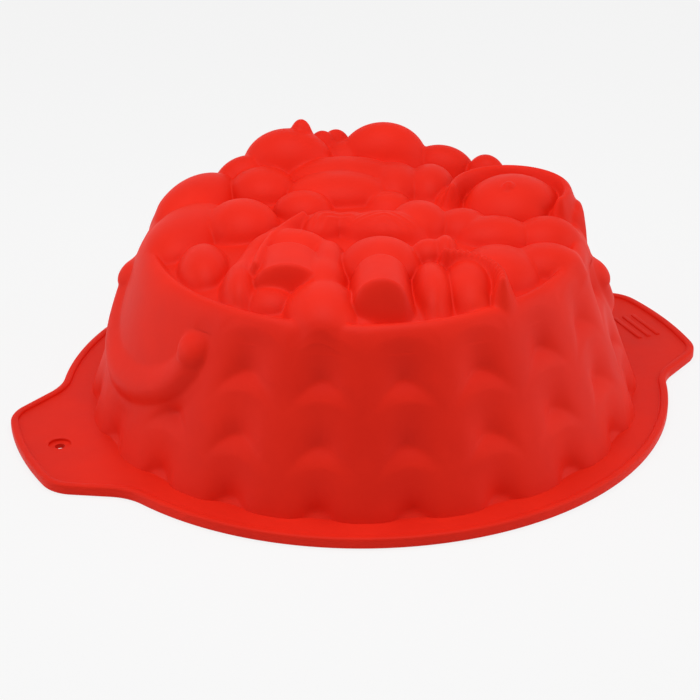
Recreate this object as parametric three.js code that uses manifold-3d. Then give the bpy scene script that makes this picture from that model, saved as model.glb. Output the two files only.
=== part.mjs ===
// Fruit-basket cake mould (bundt pan) in flexible silicone, standing mouth down on its flange.
// Millimetres, +Z up, +X towards the tab with the grip ribs, origin at the centre of its resting face.
// The real pan is one moulding. It is divided here along the borders that its relief shows.

import * as THREE from 'three';
import { mergeVertices } from 'three/addons/utils/BufferGeometryUtils.js';
import Module from 'manifold-3d';

const wasm = await Module();
wasm.setup();

// ---------------------------------------------------------------- driving dimensions

const wallThickness = 2.5;
const seamGap = 0.3; // clearance at every border between two neighbouring pieces

const flangeRadius = 125;
const flangeThickness = 3;
const beadWidth = 3.2; // raised border all round the flange and the tabs
const beadHeight = 4.2;

const tabReach = 20.4; // how far a handle tab stands beyond the flange circle
const tabTipHalfWidth = 31.4;
const tabRootHalfWidth = 46.4;
const tabCornerRadius = 15.8;
const tabRootFillet = 22;

const hangHoleRadius = 2;
const hangHoleFromTip = 15.4;
const hangRecessRadius = 4.5;
const hangRecessDepth = 1;

const gripRibLength = 22;
const gripRibWidth = 2;
const gripRibHeight = 0.6;
const gripRibPitch = 4.5;
const gripRibCount = 3;
const gripRibFromTip = 15;

const basketBaseRadius = 112.7;
const basketTopRadius = 91.5; // outside of the wall where the rolled rim starts
const basketWallTop = 60;
const rimTop = 70.5;
const rimWidth = 7.5; // from the wall's top edge in to the crown
const rimRoundness = 1.4; // 1 is a flat chamfer and 2 is a quarter ellipse

const quiltColumns = 20;
const quiltPhase = THREE.MathUtils.degToRad(3.6); // the first column's angle
const quiltRowPitch = 22.5;
const quiltFirstRow = 5;
const quiltDepth = 2.2;

const crownBedTop = 65.5;
const reliefLayoutRadius = 84; // crown radius that the relief's places are drawn for

const bailHalfAngle = THREE.MathUtils.degToRad(24); // drop handle moulded on the wall
const bailTop = 53;
const bailDrop = 24;
const bailRadius = 4;
const bailKnobRadius = 6;

const siliconeRed = 0xe12d20;
const siliconeRoughness = 0.5;

// ---------------------------------------------------------------- fineness

const circleSegments = 60;
const quiltSegmentsPerColumn = 2;
const rimSegments = 40;
const rimSteps = 3;
const domeSegments = 12;
const domeSteps = 3;
const hollowSegments = 8; // the underside of a blob is coarser
const hollowSteps = 2;
const arcSteps = 6;
const ropeSides = 6;
const ridgeStep = 7; // length of a straight stretch along a ridge
const siteSpacing = 1.2; // between the sites along a long form, in its half widths
const smallestHollow = 1;
const smallestRing = 1; // least height between two rings of points on the wall
const sliverWidth = 0.02;
const fuseOverlap = 0.12; // cells of one piece overlap by this, so they join
const sameCorner = 1e-4;
const clearance = 40; // how far a cutting solid runs past the pan

// ---------------------------------------------------------------- worked out from them

const crownRadius = basketTopRadius - rimWidth;
const crownBedBottom = crownBedTop - wallThickness;
const mouthRadius = basketBaseRadius - wallThickness;
const wallBottom = flangeThickness + seamGap;
const tabTipRadius = flangeRadius + tabReach;
const planScale = crownRadius / reliefLayoutRadius;
const farBelow = -clearance;
const farAbove = rimTop + clearance;

// ---------------------------------------------------------------- the fruit relief

// Places are seen from above, in plan sizes drawn for reliefLayoutRadius. Every form stands on
// straight sides up to its widest level, given above the crown bed, and rises over it by dome.
// A blob is an oval: its half lengths lie along and across its heading in degrees.
// A stub is a short bar on its side with flat ends. A ridge is a rounded bar along an arc.
const blob = (x, y, along, across, heading, level, dome) =>
  ({ kind: 'blob', x, y, along, across, heading, level, dome });
const stub = (...sizes) => ({ ...blob(...sizes), kind: 'stub' });
const ridge = (x, y, radius, half, from, to, level, dome) =>
  ({ kind: 'ridge', x, y, radius, half, from, to, level, dome });

const reliefs = {
  plum_back: [blob(-3, 74, 17.5, 13, -23, 7, 17), blob(4, 76, 4.3, 4.3, 0, 19, 8)],
  pear_back: [blob(37, 65, 16, 13, -23, 7, 18), blob(23, 69, 11, 10, -23, 7, 14)],
  berries_back: [blob(14, 77, 7, 6, 0, 7, 13), blob(21, 79, 7, 5, 0, 7, 12)],
  banana_outer: [blob(14, 52, 23, 12, -23, 5, 11)],
  banana_inner: [blob(6, 40, 20, 13, -23, 4, 10.5)],
  plum_rear_left: [blob(-21, 58, 13, 13, -23, 3, 11.5)],
  grape_left: [blob(-14, 30, 11, 10, -23, 4, 9)],
  plum_left: [blob(-42, 26, 14, 15, -23, 2, 13)],
  banana_left: [blob(-62, 33, 26, 14, 48, -1, 12)],
  banana_rear_left: [blob(-49, 60, 24, 12, 38, 0, 14)],
  fig_rear_left: [blob(-22, 74, 14, 9, 5, 1, 14)],
  plum_front_left: [blob(-68, -2, 9.5, 17, -18, -2, 12)],
  mushroom_left: [blob(-35, -8, 16, 12, -23, 2, 12), stub(-43, -22, 8, 12.5, 67, 0, 9)],
  pear_front: [blob(-41, -54, 13, 18, -20, -1, 13), blob(-26, -26, 6, 22, -23, 0, 11)],
  berry_front_left: [blob(-55, -40, 10, 10, 0, -2, 9)],
  leaf_left: [ridge(27, -70, 93, 3.5, 122, 154, 7, 7), ridge(27, -70, 98, 7, 128, 153, 2, 7)],
  leaf_curl_left: [blob(-62, -27, 15, 6.5, 66, 1, 10)],
  leaf_centre: [blob(1, -1, 24, 11, -48, 6, 8.5), blob(-16, 5, 9, 9, 0, 6, 7)],
  mushroom_right: [blob(-8, -35, 15.5, 17, -23, 2, 14), stub(-17, -46, 13, 10.5, 67, -1, 12)],
  plum_right: [blob(32, 40, 11, 15, -23, 3, 11)],
  plum_rear_right: [blob(45, 33, 10, 14, -23, 2, 12)],
  plum_far_right: [blob(60, 54, 14, 9, -40, 1, 13)],
  berries_far_right: [blob(74, 38, 9, 7, -60, 0, 13), blob(45, 68, 9, 7, -40, 1, 13)],
  melon_right: [blob(67, 0, 20, 20, 0, 0, 13)],
  leaf_collar: [ridge(65, -1, 23.5, 5, -58, 150, 7, 7)],
  bow_leaf: [blob(22, -5, 11, 13, -23, 5, 10)],
  bow_knot: [blob(11, -38, 7, 7, 0, 6, 8), blob(17, -40, 4.5, 8, -23, 7, 8)],
  bow_tail_left: [blob(2, -60, 7.5, 20, -23, -1, 13)],
  bow_tail_right: [blob(17, -62, 10, 20, -23, -1, 13)],
  bow_ridge: [ridge(1, -68, 23.4, 2.8, -37, 58, 6, 8)],
  apricot_inner: [blob(38, -12, 11, 11, -23, 2, 10)],
  apricot_middle: [blob(46, -24, 15, 11, -23, 1, 11)],
  apricot_front: [blob(35, -50, 15, 18, -23, -2, 12)],
  apricot_side: [blob(55, -51, 14, 12, -23, -2, 11)],
  apricot_outer: [blob(66, -31, 13, 12, -23, -1, 12)],
  berry_under_bow: [blob(-9, -68, 7, 12, -20, -2, 8)],
  berry_front: [blob(-29, -68, 9, 8, -23, -2, 7)],
};

// ---------------------------------------------------------------- solids

/** Turns a closed three.js geometry into a solid that can be joined and cut. */
function toSolid(geometry) {
  const bare = geometry.index ? geometry.toNonIndexed() : geometry.clone();
  bare.deleteAttribute('normal');
  bare.deleteAttribute('uv');
  const merged = mergeVertices(bare, sameCorner);
  return new wasm.Manifold(new wasm.Mesh({
    numProp: 3,
    vertProperties: new Float32Array(merged.attributes.position.array),
    triVerts: new Uint32Array(merged.index.array),
  }));
}

/** Turns a solid back into a three.js geometry. */
function toGeometry(solid) {
  const mesh = solid.getMesh();
  const geometry = new THREE.BufferGeometry();
  geometry.setAttribute('position', new THREE.BufferAttribute(mesh.vertProperties, 3));
  geometry.setIndex(new THREE.BufferAttribute(mesh.triVerts, 1));
  geometry.computeVertexNormals();
  return geometry;
}

/** The largest separate body of a solid, without the slivers that lie along a cut's edge. */
function mainBody(solid) {
  const clean = solid.simplify(sliverWidth);
  return clean.decompose().sort((a, b) => b.volume() - a.volume())[0];
}

/** Joins a list of solids into one. */
function joinAll(solids) {
  return solids.reduce((whole, next) => whole.add(next));
}

/** An upright prism over a plan shape, from one height to another. */
function prism(shape, bottom, top, curveSegments = arcSteps) {
  const settings = { depth: top - bottom, bevelEnabled: false, curveSegments };
  return toSolid(new THREE.ExtrudeGeometry(shape, settings).translate(0, 0, bottom));
}

/** An upright round bar centred on (x, y). */
function roundBar(x, y, radius, bottom, top, segments = circleSegments) {
  const bar = new THREE.CylinderGeometry(radius, radius, top - bottom, segments);
  return toSolid(bar.rotateX(Math.PI / 2).translate(x, y, (top + bottom) / 2));
}

/** A solid of revolution about Z whose profile holds (radius, height) points. */
function turned(profile, segments) {
  const points = profile.map(([radius, height]) => new THREE.Vector2(radius, height));
  return new THREE.LatheGeometry(points, segments).rotateX(Math.PI / 2);
}

// ---------------------------------------------------------------- flange and tabs

/** Centre of a fillet that touches a straight side at one distance and a circle about Z. */
function filletCentre(sidePoint, sideDirection, sideOffset, centreRadius) {
  const normal = new THREE.Vector2(-sideDirection.y, sideDirection.x);
  const start = sidePoint.clone().addScaledVector(normal, sideOffset);
  const along = start.dot(sideDirection);
  const reach = Math.sqrt(along * along - start.lengthSq() + centreRadius * centreRadius);
  return start.addScaledVector(sideDirection, reach - along);
}

/** Points of an arc from one angle to another, both ends included. */
function arcPoints(centre, radius, from, to, steps) {
  return Array.from({ length: steps + 1 }, (_, i) => {
    const angle = from + ((to - from) * i) / steps;
    const ray = new THREE.Vector2(Math.cos(angle), Math.sin(angle));
    return ray.multiplyScalar(radius).add(centre);
  });
}

/** One quarter of the flange outline, from the tip of the +X tab to the +Y axis. */
function outlineQuarter(inset) {
  const rim = flangeRadius - inset;
  const tip = tabTipRadius - inset;
  const root = new THREE.Vector2(
    Math.sqrt(flangeRadius ** 2 - tabRootHalfWidth ** 2), tabRootHalfWidth);
  const corner = new THREE.Vector2(
    Math.sqrt(tabTipRadius ** 2 - tabTipHalfWidth ** 2), tabTipHalfWidth);
  const outward = corner.clone().sub(root).normalize();
  const centre = new THREE.Vector2(0, 0);
  const cornerRadius = tabCornerRadius - inset;
  const filletRadius = tabRootFillet + inset;
  const cornerCentre = filletCentre(root, outward, -tabCornerRadius, tip - cornerRadius);
  const filletAt = filletCentre(root, outward, tabRootFillet, rim + filletRadius);
  const sideAngle = Math.atan2(outward.x, -outward.y);
  const cornerAngle = cornerCentre.angle();
  const rootAngle = filletAt.angle();
  return [
    ...arcPoints(centre, tip, 0, cornerAngle, arcSteps),
    ...arcPoints(cornerCentre, cornerRadius, cornerAngle, sideAngle, arcSteps).slice(1),
    ...arcPoints(filletAt, filletRadius, sideAngle + Math.PI, rootAngle + Math.PI, arcSteps),
    ...arcPoints(centre, rim, rootAngle, Math.PI / 2, 2 * arcSteps).slice(1),
  ];
}

/** The whole outline of the flange with its two tabs, moved inwards by the inset. */
function outline(inset) {
  const quarter = outlineQuarter(inset);
  const mirrored = quarter.slice(0, -1).reverse().map((p) => new THREE.Vector2(-p.x, p.y));
  const half = [...quarter, ...mirrored];
  const lower = half.slice(1, -1).reverse().map((p) => new THREE.Vector2(p.x, -p.y));
  return new THREE.Shape([...half, ...lower]);
}

/** The raised border bead. */
function rimBead() {
  const outer = prism(outline(0), 0, beadHeight);
  return outer.subtract(prism(outline(beadWidth), farBelow, farAbove));
}

/** The flat plate inside the bead, with the pan's mouth left open. */
function flangePlate() {
  const plate = prism(outline(beadWidth + seamGap), 0, flangeThickness);
  return plate.subtract(roundBar(0, 0, mouthRadius, farBelow, farAbove));
}

/** The part of the flange plate beyond the flange circle on one side, +1 or -1 in X. */
function tabPlate(side) {
  const width = 2 * tabRootHalfWidth;
  const reach = new THREE.BoxGeometry(tabTipRadius, width, farAbove);
  const zone = toSolid(reach.translate((side * tabTipRadius) / 2 + side * seamGap, 0, 0));
  const ring = roundBar(0, 0, flangeRadius - beadWidth, farBelow, farAbove);
  return mainBody(flangePlate().intersect(zone).subtract(ring));
}

/** The hanging tab: a small hole in a shallow round recess. */
function hangTab() {
  const x = -(tabTipRadius - hangHoleFromTip);
  const recessFloor = flangeThickness - hangRecessDepth;
  return tabPlate(-1)
    .subtract(roundBar(x, 0, hangRecessRadius, recessFloor, farAbove, domeSegments))
    .subtract(roundBar(x, 0, hangHoleRadius, farBelow, farAbove, domeSegments));
}

/** The other tab, with low plain grip ribs. */
function gripTab() {
  const sink = flangeThickness / 2;
  const ribs = Array.from({ length: gripRibCount }, (_, i) => {
    const x = tabTipRadius - gripRibFromTip + (i - (gripRibCount - 1) / 2) * gripRibPitch;
    const rib = new THREE.BoxGeometry(gripRibWidth, gripRibLength, gripRibHeight + sink);
    return toSolid(rib.translate(x, 0, flangeThickness + (gripRibHeight - sink) / 2));
  });
  return joinAll([tabPlate(1), ...ribs]);
}

/** The round part of the flange between the mouth and the bead. */
function flangeRing() {
  const edge = flangeRadius - beadWidth - seamGap;
  return flangePlate().intersect(roundBar(0, 0, edge, farBelow, farAbove));
}

// ---------------------------------------------------------------- basket wall and rim

/** Outside radius of the plain basket wall at a height. */
function wallRadius(height) {
  const slope = (basketTopRadius - basketBaseRadius) / (basketWallTop - wallBottom);
  return basketBaseRadius + slope * (height - wallBottom);
}

/** How far the quilting draws the wall in: full depth at each tuft, none between them. */
function tuftDepth(angle, height) {
  const column = ((angle - quiltPhase) / (2 * Math.PI)) * quiltColumns;
  const row = (height - quiltFirstRow) / quiltRowPitch;
  const fromColumn = Math.abs(column - Math.round(column));
  const fromRow = Math.abs(row - Math.round(row));
  return quiltDepth * Math.max(0, 1 - 2 * (fromColumn + fromRow));
}

/** Draws a turned wall in at the tufts, with a line of points up every column. */
function quilt(turnedWall) {
  const geometry = turnedWall.rotateZ(quiltPhase);
  const position = geometry.attributes.position;
  for (let i = 0; i < position.count; i += 1) {
    const x = position.getX(i);
    const y = position.getY(i);
    const radius = Math.hypot(x, y);
    const depth = tuftDepth(Math.atan2(y, x), position.getZ(i));
    const shrink = radius > mouthRadius / 2 ? (radius - depth) / radius : 1;
    position.setXY(i, x * shrink, y * shrink);
  }
  return geometry;
}

/** Heights at which the wall has a ring of points: its ends, the tuft rows and between them. */
function wallHeights() {
  const step = quiltRowPitch / 2;
  const heights = [wallBottom];
  for (let z = quiltFirstRow; z < basketWallTop - smallestRing; z += step) {
    if (z > wallBottom + smallestRing) heights.push(z);
  }
  return [...heights, basketWallTop];
}

/** The quilted wall of the basket. */
function basketWall() {
  const outside = wallHeights().map((z) => [wallRadius(z), z]);
  const inside = outside.map(([r, z]) => [r - wallThickness, z]).reverse();
  const profile = [...outside, ...inside, outside[0]];
  return toSolid(quilt(turned(profile, quiltColumns * quiltSegmentsPerColumn)));
}

/** The space that the wall takes up, filled to the axis and grown by the seam gap. */
function wallEnvelope() {
  const outside = wallHeights().map((z) => [wallRadius(z) + seamGap, z]);
  const profile = [[0, wallBottom], ...outside, [0, basketWallTop]];
  return toSolid(quilt(turned(profile, quiltColumns * quiltSegmentsPerColumn)));
}

/** Points over the rolled rim, from the wall's top edge over to the crown's edge. */
function rimArc(inset) {
  const foot = basketWallTop + seamGap;
  return Array.from({ length: rimSteps + 1 }, (_, i) => {
    const turn = (Math.PI / 2) * (i / rimSteps);
    const out = (i < rimSteps ? Math.cos(turn) : 0) ** (2 / rimRoundness);
    const up = Math.sin(turn) ** (2 / rimRoundness);
    return [crownRadius + (rimWidth - inset) * out, foot + (rimTop - foot - inset) * up];
  });
}

/** The rolled rim round the top of the basket. */
function basketRim() {
  const outside = rimArc(0);
  const inside = rimArc(wallThickness).reverse();
  const lip = [[crownRadius, crownBedBottom], [crownRadius + wallThickness, crownBedBottom]];
  const hollow = inside.filter(([radius]) => radius > crownRadius + wallThickness);
  return toSolid(turned([...outside, ...lip, ...hollow, outside[0]], rimSegments));
}

/** The space that the rolled rim takes up outside the crown, grown by the seam gap. */
function rimEnvelope() {
  const over = rimArc(-seamGap);
  const inner = crownRadius - seamGap;
  const foot = [wallRadius(basketWallTop) + seamGap, basketWallTop];
  const top = [inner, over[rimSteps][1]];
  const start = [inner, basketWallTop];
  return toSolid(turned([start, foot, ...over.slice(0, -1), top, start], rimSegments));
}

// ---------------------------------------------------------------- drop handles on the wall

/** A point on the wall at an angle from a tab's axis and a height, stood off by a distance. */
function onWall(angle, height, off) {
  const radius = wallRadius(height) + off;
  return new THREE.Vector3(radius * Math.cos(angle), radius * Math.sin(angle), height);
}

/** A bar of round section along a list of points. */
function rope(points, radius, steps) {
  const section = new THREE.Shape(
    arcPoints(new THREE.Vector2(0, 0), radius, 0, 2 * Math.PI, ropeSides).slice(0, -1));
  const path = new THREE.CatmullRomCurve3(points);
  const settings = { steps, bevelEnabled: false, extrudePath: path };
  return toSolid(new THREE.ExtrudeGeometry(section, settings));
}

/** The knob where one end of a drop handle meets the basket. */
function bailKnob(axisAngle, end, grow) {
  const centre = onWall(axisAngle + end * bailHalfAngle, bailTop, 0);
  const ball = new THREE.SphereGeometry(bailKnobRadius + grow, domeSegments, domeSteps * 2);
  return toSolid(ball.translate(centre.x, centre.y, centre.z));
}

/** The hanging loop of a drop handle, moulded on the wall above a tab. */
function bail(axisAngle) {
  const points = Array.from({ length: arcSteps + 1 }, (_, i) => {
    const turn = (Math.PI * i) / arcSteps;
    const angle = axisAngle - bailHalfAngle * Math.cos(turn);
    return onWall(angle, bailTop - bailDrop * Math.sin(turn), 0);
  });
  return rope(points, bailRadius, 3 * arcSteps)
    .subtract(bailKnob(axisAngle, -1, seamGap))
    .subtract(bailKnob(axisAngle, 1, seamGap));
}

// ---------------------------------------------------------------- crown

/** Half a section through a form: up one straight side and over the dome to the middle. */
function domeSection(half, bottom, level, dome, steps) {
  const over = Array.from({ length: steps + 1 }, (_, i) => {
    const turn = (Math.PI / 2) * (i / steps);
    return [half * Math.cos(turn), level + dome * Math.sin(turn)];
  });
  over[steps][0] = 0;
  return [[half, bottom], ...over];
}

/** A blob: an oval dome on straight sides. */
function blobSolid(form, section, segments) {
  const profile = [[0, section[0][1]], ...section];
  const scaled = turned(profile.map(([r, z]) => [r / section[0][0], z]), segments)
    .scale(form.along, form.across, 1);
  return toSolid(scaled.rotateZ(THREE.MathUtils.degToRad(form.heading)));
}

/** A stub: the section drawn out along the heading, with flat ends. */
function stubSolid(form, section) {
  const mirrored = section.slice(0, -1).reverse().map(([r, z]) => [-r, z]);
  const points = [...section, ...mirrored].map(([r, z]) => new THREE.Vector2(r, z));
  const settings = { depth: 2 * form.along, bevelEnabled: false };
  const bar = new THREE.ExtrudeGeometry(new THREE.Shape(points), settings);
  bar.translate(0, 0, -form.along).rotateX(Math.PI / 2);
  return toSolid(bar.rotateZ(THREE.MathUtils.degToRad(form.heading - 90)));
}

/** A ridge: the section turned about the arc's centre and kept between the arc's ends. */
function ridgeSolid(form, section) {
  const mirrored = section.slice(0, -1).reverse().map(([r, z]) => [-r, z]);
  const profile = [...section, ...mirrored, section[0]].map(([r, z]) => [form.radius + r, z]);
  const from = THREE.MathUtils.degToRad(form.from);
  const to = THREE.MathUtils.degToRad(form.to);
  const centre = new THREE.Vector2(0, 0);
  const sector = [centre, ...arcPoints(centre, 2 * form.radius, from, to, arcSteps)];
  const ringSegments = Math.ceil((2 * Math.PI * form.radius) / ridgeStep);
  const ring = toSolid(turned(profile, ringSegments));
  return ring.intersect(prism(new THREE.Shape(sector), farBelow, farAbove));
}

/** Plan sizes of a form at the crown's real radius, drawn in all round by an inset. */
function sized(form, inset) {
  const scaled = { ...form };
  for (const key of ['x', 'y', 'along', 'across', 'radius', 'half']) {
    if (key in form) scaled[key] = form[key] * planScale;
  }
  for (const key of ['along', 'across', 'half']) {
    if (key in form) scaled[key] -= inset;
  }
  return { ...scaled, dome: form.dome - inset };
}

/** A form of the relief as a solid, or as the hollow under it if it is wide enough for one. */
function formSolid(original, inset) {
  const form = sized(original, inset);
  const half = form.kind === 'ridge' ? form.half : form.across;
  if (Math.min(half, form.along ?? half) < smallestHollow) return null;
  const hollow = inset > 0;
  const bottom = hollow ? crownBedBottom - wallThickness : crownBedBottom;
  const steps = hollow ? hollowSteps : domeSteps;
  const section = domeSection(half, bottom, crownBedTop + form.level, form.dome, steps);
  const make = {
    blob: () => blobSolid(form, section, hollow ? hollowSegments : domeSegments),
    stub: () => stubSolid(form, section),
    ridge: () => ridgeSolid(form, section),
  };
  return make[form.kind]().translate([form.x, form.y, 0]);
}

/** Points in the plan that claim ground for a form: one, or a row along a long form. */
function formSites(original) {
  const form = sized(original, 0);
  if (form.kind === 'ridge') {
    const centre = new THREE.Vector2(form.x, form.y);
    const from = THREE.MathUtils.degToRad(form.from);
    const to = THREE.MathUtils.degToRad(form.to);
    const steps = Math.ceil(((to - from) * form.radius) / ridgeStep);
    return arcPoints(centre, form.radius, from, to, steps)
      .map((point) => ({ x: point.x, y: point.y, radius: form.half }));
  }
  const radius = Math.min(form.along, form.across);
  const reach = Math.max(form.along, form.across) - radius;
  const turn = form.along >= form.across ? 0 : 90;
  const heading = THREE.MathUtils.degToRad(form.heading + turn);
  const count = 1 + 2 * Math.ceil(reach / (siteSpacing * radius));
  return Array.from({ length: count }, (_, i) => {
    const step = count > 1 ? reach * ((2 * i) / (count - 1) - 1) : 0;
    const x = form.x + step * Math.cos(heading);
    const y = form.y + step * Math.sin(heading);
    return { x, y, radius };
  });
}

/** Keeps the part of a convex polygon on the near side of a line. */
function clip(polygon, normal, limit) {
  const kept = [];
  polygon.forEach((here, i) => {
    const next = polygon[(i + 1) % polygon.length];
    const a = here.dot(normal) - limit;
    const b = next.dot(normal) - limit;
    if (a <= 0) kept.push(here);
    if (a * b < 0) kept.push(here.clone().lerp(next, a / (a - b)));
  });
  return kept;
}

/** The ground nearest to one site: neighbours part where their round footprints would meet. */
function siteCell(site, sites) {
  const far = 2 * basketBaseRadius;
  let polygon = [[-far, -far], [far, -far], [far, far], [-far, far]]
    .map(([x, y]) => new THREE.Vector2(x, y));
  for (const other of sites) {
    if (other !== site) {
      const step = new THREE.Vector2(other.x - site.x, other.y - site.y);
      const distance = step.length();
      const share = (distance ** 2 + site.radius ** 2 - other.radius ** 2) / (2 * distance);
      const normal = step.divideScalar(distance);
      const shift = other.owner === site.owner ? fuseOverlap : -seamGap / 2;
      const start = new THREE.Vector2(site.x, site.y).dot(normal);
      polygon = clip(polygon, normal, start + share + shift);
    }
  }
  return polygon;
}

/** Divides the crown among its reliefs, each as one piece with the ground that it claims. */
function crownPieces(rim) {
  const forms = Object.values(reliefs).flat();
  const bed = roundBar(0, 0, crownRadius - seamGap, crownBedBottom, crownBedTop);
  const outer = joinAll([bed, ...forms.map((form) => formSolid(form, 0))]);
  const hollows = forms.map((form) => formSolid(form, wallThickness));
  const crown = outer.subtract(joinAll(hollows.filter((hollow) => hollow !== null)))
    .subtract(rim);
  const sites = Object.entries(reliefs).flatMap(([owner, own]) =>
    own.flatMap(formSites).map((site) => ({ ...site, owner })));
  return Object.keys(reliefs).map((name) => {
    const cells = sites.filter((site) => site.owner === name)
      .map((site) => siteCell(site, sites))
      .filter((polygon) => polygon.length > 2)
      .map((polygon) => prism(new THREE.Shape(polygon), farBelow, farAbove));
    return [name, mainBody(crown.intersect(joinAll(cells)))];
  });
}

// ---------------------------------------------------------------- the pan

/** A named mesh in red silicone. */
function siliconePiece(name, solid) {
  const material = new THREE.MeshStandardMaterial({
    color: siliconeRed,
    roughness: siliconeRoughness,
    metalness: 0,
  });
  const mesh = new THREE.Mesh(toGeometry(solid), material);
  mesh.name = name;
  return mesh;
}

/** Builds the whole pan. */
function buildPan() {
  const pan = new THREE.Group();
  const basket = wallEnvelope().add(rimEnvelope());
  const place = (name, solid) => pan.add(siliconePiece(name, solid));
  place('flange_ring', flangeRing());
  place('hang_tab', hangTab());
  place('grip_tab', gripTab());
  place('rim_bead', rimBead());
  place('basket_wall', basketWall());
  place('basket_rim', basketRim());
  for (const [side, axisAngle] of [['right', 0], ['left', Math.PI]]) {
    place(`drop_handle_${side}`, mainBody(bail(axisAngle).subtract(basket)));
    place(`handle_knob_${side}_a`, mainBody(bailKnob(axisAngle, -1, 0).subtract(basket)));
    place(`handle_knob_${side}_b`, mainBody(bailKnob(axisAngle, 1, 0).subtract(basket)));
  }
  crownPieces(rimEnvelope()).forEach(([name, solid]) => place(name, solid));
  return pan;
}

export default buildPan();
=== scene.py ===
"""Fruit-basket cake mould in red silicone, standing mouth down: the looks round its CAD model."""

import logging
import math
from collections.abc import Iterator
from contextlib import contextmanager
from dataclasses import dataclass, field
from enum import Enum

import bpy
import numpy as np
from bpy.types import Material, Mesh, NodeLinks, NodeSocket, Nodes, Object
from mathutils import Matrix, Vector


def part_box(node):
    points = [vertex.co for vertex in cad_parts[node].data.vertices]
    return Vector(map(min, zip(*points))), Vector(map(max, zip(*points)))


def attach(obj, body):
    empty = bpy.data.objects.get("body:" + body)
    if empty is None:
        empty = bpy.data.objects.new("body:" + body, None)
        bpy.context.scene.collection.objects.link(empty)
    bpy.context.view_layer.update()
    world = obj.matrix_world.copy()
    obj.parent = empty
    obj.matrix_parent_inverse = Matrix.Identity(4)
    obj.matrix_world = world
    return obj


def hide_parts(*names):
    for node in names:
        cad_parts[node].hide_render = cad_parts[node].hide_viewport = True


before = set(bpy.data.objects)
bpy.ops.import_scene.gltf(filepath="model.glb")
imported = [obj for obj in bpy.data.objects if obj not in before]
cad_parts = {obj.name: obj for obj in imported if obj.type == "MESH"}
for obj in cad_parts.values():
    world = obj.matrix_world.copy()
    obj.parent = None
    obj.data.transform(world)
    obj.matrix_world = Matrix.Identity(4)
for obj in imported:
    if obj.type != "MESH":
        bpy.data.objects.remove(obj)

Array = np.ndarray
LOG = logging.getLogger("cake_mould")
MM = 0.001
WALL_LEAN = 0.372  # how far the wall comes in for each millimetre of rise
SMOOTH_ANGLE = math.radians(40)  # edges sharper than this stay sharp
SEAM = 2e-6  # points closer than this, in metres, are one point
HAIR = 0.01  # allowance for rounding in comparisons, in millimetres


# ---------------------------------------------------------------- finishes


@dataclass(frozen=True)
class Silicone:
    """Satin red food silicone with a faint mottle and a fine moulded grain."""

    deep: tuple[float, float, float, float] = (0.72, 0.0165, 0.0058, 1.0)
    bright: tuple[float, float, float, float] = (0.79, 0.0205, 0.0072, 1.0)
    roughness: float = 0.54
    gloss: float = 0.14
    index: float = 1.42
    polish_range: tuple[float, float] = (-0.05, 0.06)
    mottle_scale: float = 38.0
    grain_scale: float = 900.0
    swell_scale: float = 130.0

    def material(self) -> Material:
        """Builds the node material.

        Returns:
            The silicone material, on Object coordinates.
        """
        made = bpy.data.materials.new("red_silicone")
        made.use_nodes = True
        nodes, links = made.node_tree.nodes, made.node_tree.links
        shader = nodes["Principled BSDF"]
        shader.inputs["IOR"].default_value = self.index
        shader.inputs["Specular IOR Level"].default_value = self.gloss
        place = nodes.new("ShaderNodeTexCoord").outputs["Object"]
        mottle = self._noise(nodes, links, place, self.mottle_scale, 4.0)
        ramp = nodes.new("ShaderNodeValToRGB")
        stops = zip(ramp.color_ramp.elements, (0.3, 0.7), (self.deep, self.bright))
        for stop, position, colour in stops:
            stop.position = position
            stop.color = colour
        links.new(mottle, ramp.inputs["Fac"])
        links.new(ramp.outputs["Color"], shader.inputs["Base Color"])
        polish = nodes.new("ShaderNodeMapRange")
        polish.inputs["To Min"].default_value = self.roughness + self.polish_range[0]
        polish.inputs["To Max"].default_value = self.roughness + self.polish_range[1]
        links.new(mottle, polish.inputs["Value"])
        links.new(polish.outputs["Result"], shader.inputs["Roughness"])
        swell = self._bump(nodes, links, place, self.swell_scale, 0.10, 0.0012, None)
        grain = self._bump(nodes, links, place, self.grain_scale, 0.10, 0.0002, swell)
        links.new(grain, shader.inputs["Normal"])
        return made

    @staticmethod
    def _noise(nodes: Nodes, links: NodeLinks, place: NodeSocket,
               scale: float, detail: float) -> NodeSocket:
        """Adds a noise texture.

        Args:
            nodes: The material's nodes.
            links: The material's links.
            place: The coordinates the noise reads.
            scale: How fine the noise is.
            detail: How many finer layers it has.

        Returns:
            The noise's value.
        """
        noise = nodes.new("ShaderNodeTexNoise")
        noise.inputs["Scale"].default_value = scale
        noise.inputs["Detail"].default_value = detail
        links.new(place, noise.inputs["Vector"])
        return noise.outputs["Fac"]

    def _bump(self, nodes: Nodes, links: NodeLinks,
              place: NodeSocket, scale: float, strength: float, height: float,
              under: NodeSocket | None) -> NodeSocket:
        """Adds a bump made of noise.

        Args:
            nodes: The material's nodes.
            links: The material's links.
            place: The coordinates the noise reads.
            scale: How fine the noise is.
            strength: The bump's strength.
            height: The bump's height in metres.
            under: A bump that this one lies on, if any.

        Returns:
            The bumped normal.
        """
        bump = nodes.new("ShaderNodeBump")
        bump.inputs["Strength"].default_value = strength
        bump.inputs["Distance"].default_value = height
        links.new(self._noise(nodes, links, place, scale, 2.0), bump.inputs["Height"])
        if under is not None:
            links.new(under, bump.inputs["Normal"])
        return bump.outputs["Normal"]


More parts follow.
